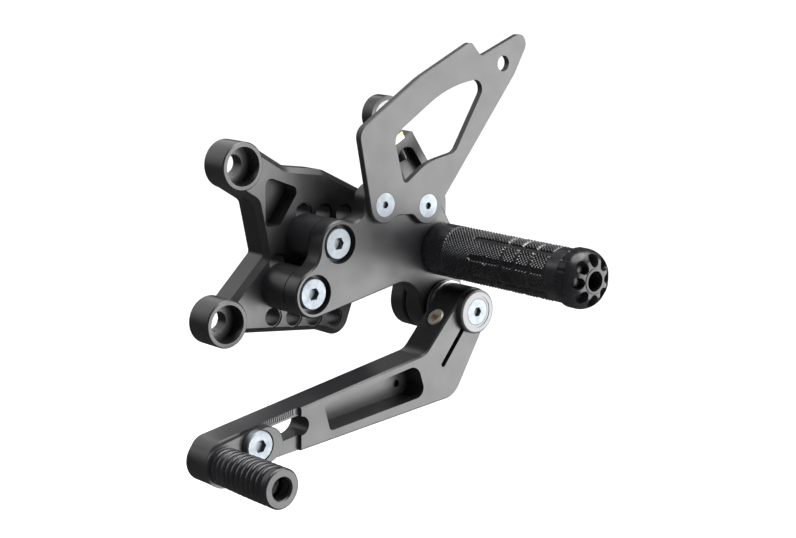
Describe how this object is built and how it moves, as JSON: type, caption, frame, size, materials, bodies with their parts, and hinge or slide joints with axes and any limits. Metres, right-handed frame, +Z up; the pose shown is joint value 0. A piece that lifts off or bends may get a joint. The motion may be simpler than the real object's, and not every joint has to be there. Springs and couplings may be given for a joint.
{
  "type": "motorcycle rear set, gear-shift side",
  "caption": "Left-hand motorcycle rear set: foot peg on an adjustable bracket with heel guard, and a pivoting gear-shift lever with sliding toe peg, link arm and rod end.",
  "frame": {"origin": "axis of the upper frame bolt, on the back face that lies against the motorcycle's frame", "axes": "+Z up, +X towards the rear of the motorcycle, -Y outboard along the foot peg; the back face is the plane Y=0"},
  "size_m": [0.194, 0.1318, 0.1723],
  "materials": {
    "anodised": "satin black anodised",
    "peg_anodised": "black anodised, knurled",
    "bright_steel": "bright zinc plated",
    "bare_aluminium": "turned, bare",
    "yellow_zinc": "yellow passivated zinc",
    "bronze": "plain bearing bronze",
    "black_rubber": "matt",
    "liner": "low-friction liner"
  },
  "bodies": {
    "frame_set": {"base_plate": "anodised", "adapter_plate": "anodised", "adapter_spacers": "anodised", "adapter_bolts": "bright_steel", "heel_guard": "anodised", "guard_screws": "bright_steel", "peg_barrel": "peg_anodised", "peg_washer": "bright_steel", "peg_bolt": "bright_steel", "peg_end_cap": "peg_anodised", "inner_bush": "bronze", "outer_bush": "bronze"},
    "shifter": {"thrust_washers": "bright_steel", "dust_ring": "black_rubber", "pivot_shaft": "bright_steel", "pivot_cap": "bare_aluminium", "cap_screw": "bright_steel", "shift_lever": "anodised", "pinch_screw": "bright_steel", "link_arm": "anodised", "link_washer": "bright_steel", "link_screw": "bright_steel", "rod_end": "bright_steel", "rod_end_liner": "liner", "lock_nut": "yellow_zinc"},
    "toe_set": {"toe_carrier": "anodised", "carrier_bolt": "bright_steel", "carrier_nut": "bright_steel", "toe_barrel": "peg_anodised", "toe_bolt": "bright_steel"},
    "rod_ball": {"rod_end_ball": "bright_steel"}
  },
  "joints": [
    {"name": "lever_pivot", "type": "hinge", "parent": "frame_set", "child": "shifter", "pos_m": [0.0935, -0.0482, -0.0693], "axis": [0, 1, 0], "range_deg": [-14, 14]},
    {"name": "toe_slide", "type": "slide", "parent": "shifter", "child": "toe_set", "axis": [0.9896, 0, 0.1437], "range_m": [-0.0045, 0.0095]},
    {"name": "rod_end_swivel", "type": "hinge", "parent": "shifter", "child": "rod_ball", "pos_m": [0.0719, -0.02015, 0.0169], "axis": [0.8773, 0, 0.48], "range_deg": [-12, 12]}
  ]
}
